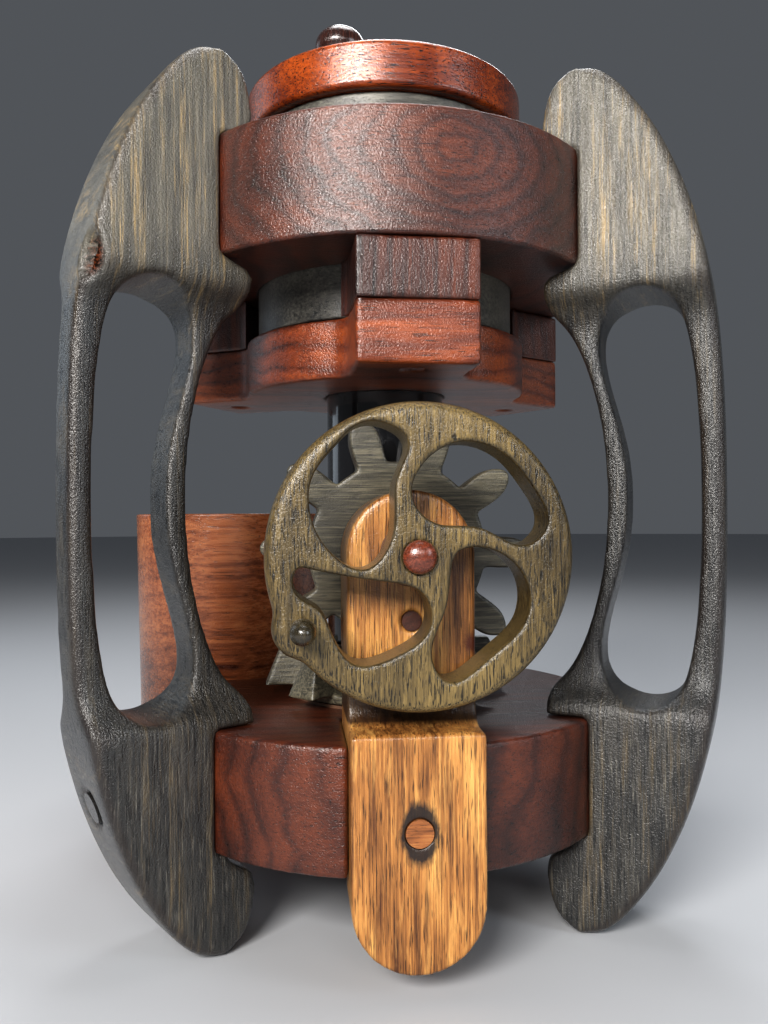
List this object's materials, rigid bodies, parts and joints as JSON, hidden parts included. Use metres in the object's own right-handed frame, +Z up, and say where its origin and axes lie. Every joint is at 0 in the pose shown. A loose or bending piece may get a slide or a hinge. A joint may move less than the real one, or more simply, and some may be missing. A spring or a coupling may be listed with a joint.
{
  "type": "kaleidoscope",
  "caption": "Geared wooden table kaleidoscope: a hand crank turns the object cell under an upright mirror tube, held in a stand of sculpted side frames.",
  "frame": {"origin": "centre of the base disc's underside, at the mouth of the light port", "axes": "+Z up along the mirror tube to the eyepiece; the crank wheel faces -Y; +X to the right of a person facing the crank"},
  "size_m": [0.2539, 0.2568, 0.3501],
  "materials": {
    "frame_wood": "satin, charcoal-stained with golden grain streaks",
    "walnut": "satin oil",
    "post_wood": "satin oil with dark streaks",
    "wheel_wood": "satin oil with fine dark dashes",
    "gear_wood": "dark olive stain",
    "cap_wood": "gloss varnish",
    "drum_wood": "ebonised, satin",
    "canister_wood": "gloss varnish",
    "plug_wood": "satin oil",
    "knob_wood": "gloss varnish",
    "tube_black": "gloss black",
    "steel": "zinc plated",
    "brass": "turned",
    "leather": "plain",
    "glass": "clear",
    "opal_glass": "sandblasted opal",
    "colour_glass": "transparent colours",
    "mirror": "front-silvered",
    "black_card": "matt black"
  },
  "bodies": {
    "stand": {"base_disc": "walnut", "side_frame_left": "frame_wood", "side_frame_right": "frame_wood", "side_frame_rear": "frame_wood", "upper_ring": "walnut", "lower_plate": "walnut", "spacer_blocks": "walnut", "plate_screws": "steel", "frame_screws": "steel", "frame_plugs": "plug_wood", "ring_dowels": "plug_wood", "crank_post": "post_wood", "foot_plug": "plug_wood", "post_plug": "plug_wood", "axle_bushes": "brass", "thrust_washers": "leather", "turntable_washer": "leather", "drum_washer": "leather", "canister": "canister_wood", "spare_cells": "glass"},
    "crank": {"crank_wheel": "wheel_wood", "crank_axle": "plug_wood", "axle_wedge": "plug_wood", "axle_cap": "plug_wood", "drive_gear": "gear_wood"},
    "knob": {"crank_knob": "knob_wood", "knob_collar": "brass"},
    "object_cell": {"crown_gear": "gear_wood", "cell_diffuser": "opal_glass", "cell_spacer": "black_card", "cell_window": "glass", "cell_glass": "colour_glass"},
    "head": {"drum": "drum_wood", "top_cap": "cap_wood", "cap_knob": "knob_wood", "eyepiece_ring": "knob_wood", "eye_lens": "glass", "mirror_tube": "tube_black", "mirrors": "mirror", "dust_glass": "glass", "eye_baffle": "black_card"},
    "lid": {"canister_lid": "canister_wood"}
  },
  "joints": [
    {"name": "crank_turn", "type": "hinge", "parent": "stand", "child": "crank", "pos_m": [0, -0.065, 0.1083], "axis": [0, 1, 0], "continuous": true},
    {"name": "cell_turn", "type": "hinge", "parent": "stand", "child": "object_cell", "pos_m": [0, 0, 0.05], "axis": [0, 0, 1], "continuous": true},
    {"name": "head_turn", "type": "hinge", "parent": "stand", "child": "head", "pos_m": [0, 0, 0.2], "axis": [0, 0, 1], "continuous": true},
    {"name": "knob_spin", "type": "hinge", "parent": "crank", "child": "knob", "pos_m": [-0.0378, -0.1, 0.0855], "axis": [0, 1, 0], "continuous": true},
    {"name": "lid_lift", "type": "slide", "parent": "stand", "child": "lid", "axis": [0, 0, 1], "range_m": [0, 0.045]}
  ],
  "couplings": [
    {"joint": "cell_turn", "follows": "crank_turn", "ratio": -1.25}
  ]
}
